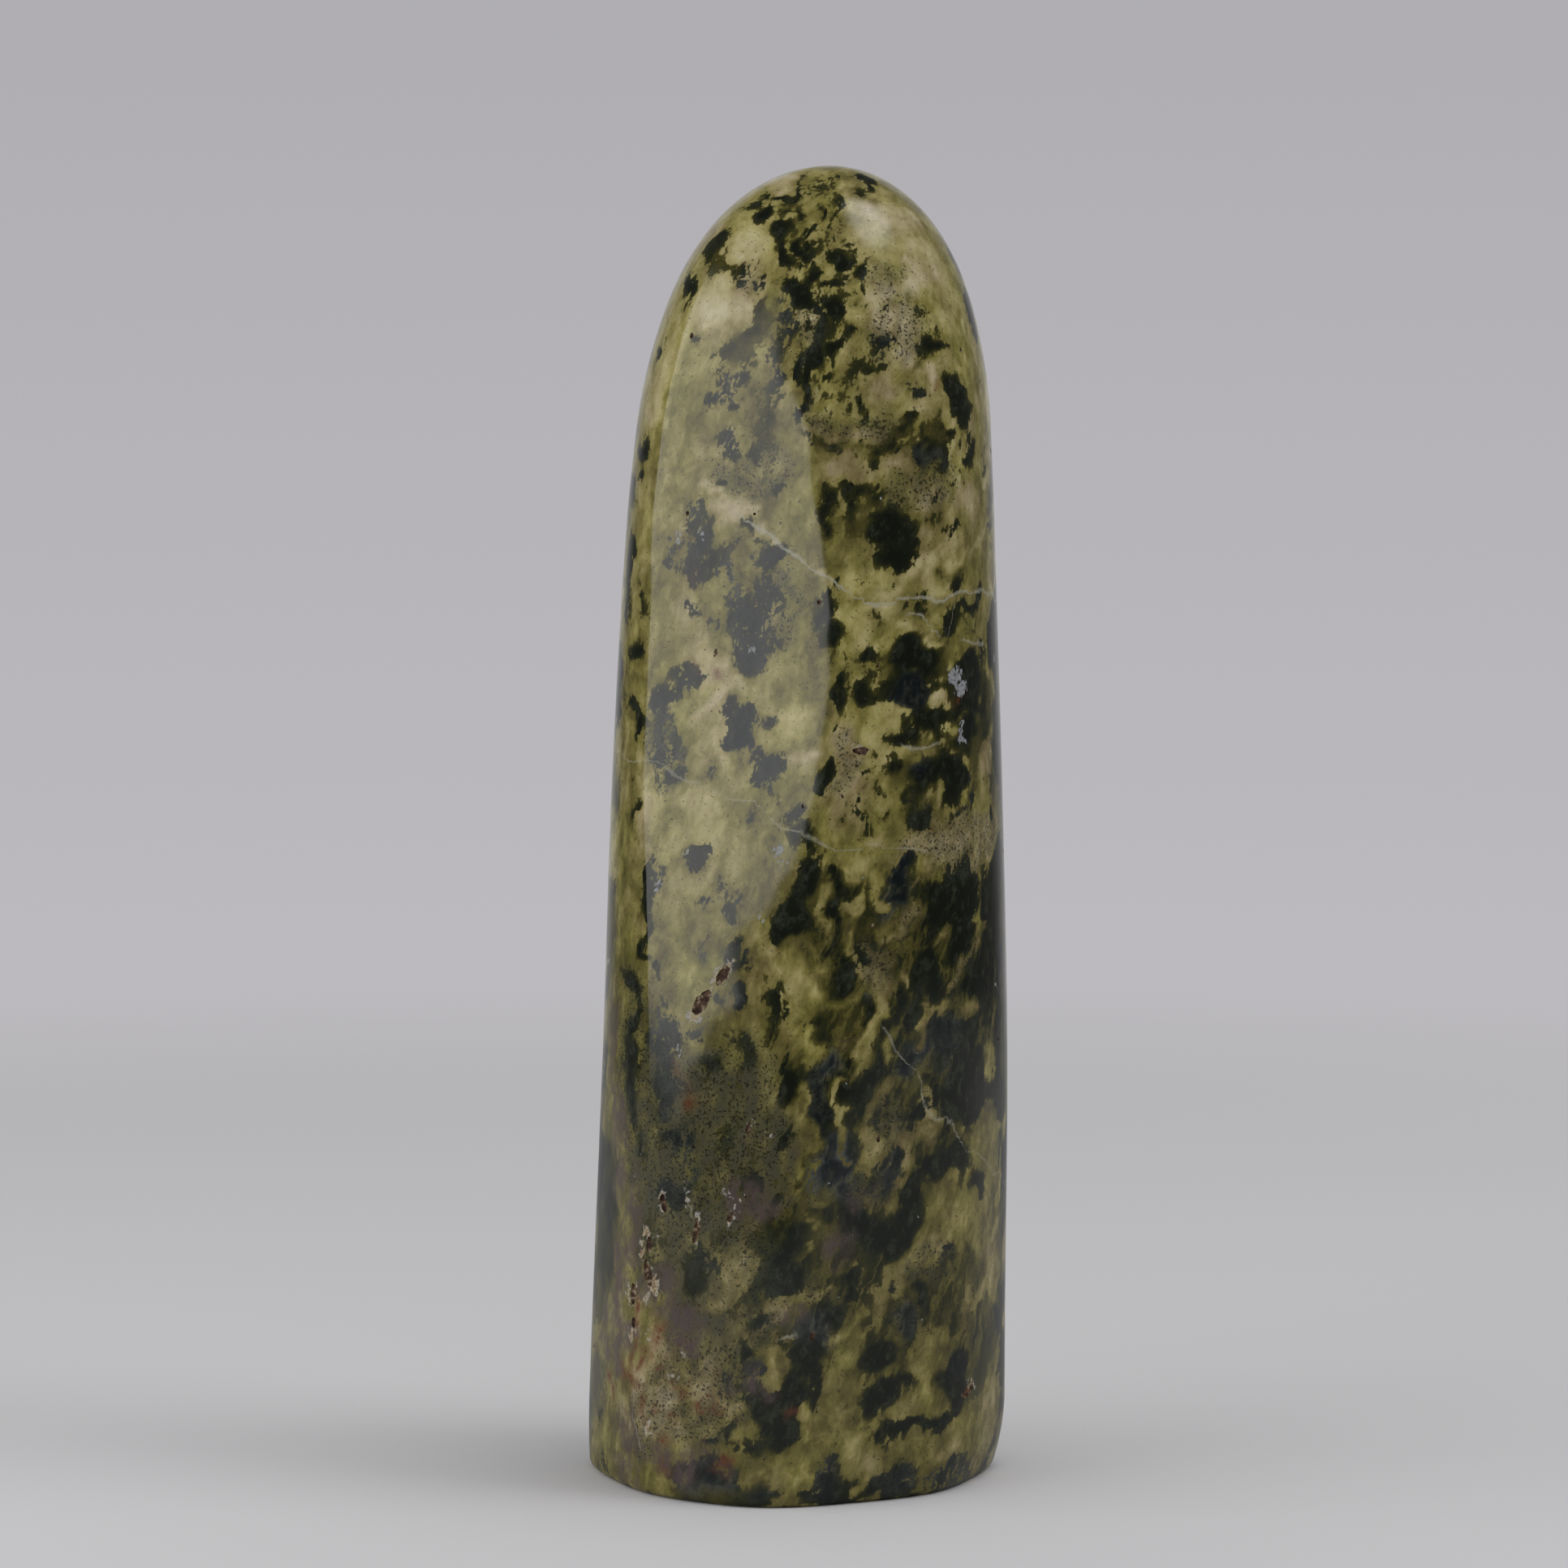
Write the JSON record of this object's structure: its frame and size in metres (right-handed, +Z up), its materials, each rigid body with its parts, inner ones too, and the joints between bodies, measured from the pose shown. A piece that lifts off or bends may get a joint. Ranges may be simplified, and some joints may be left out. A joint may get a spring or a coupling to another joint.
{
  "type": "serpentine tower",
  "caption": "Polished free-form tower of green serpentine rock, rounded at the top and sawn flat underneath, that stands by itself as a display stone.",
  "frame": {"origin": "middle of the bounding box at the flat base, on the surface the stone stands on", "axes": "+Z up along the tower, -Y out of the front face, +X to the right seen from the front"},
  "size_m": [0.0482, 0.041, 0.15],
  "materials": {
    "polished_serpentine": "polished, mottled olive and near-black serpentine with pale veins"
  },
  "bodies": {
    "root": {"serpentine_tower": "polished_serpentine"}
  },
  "joints": []
}
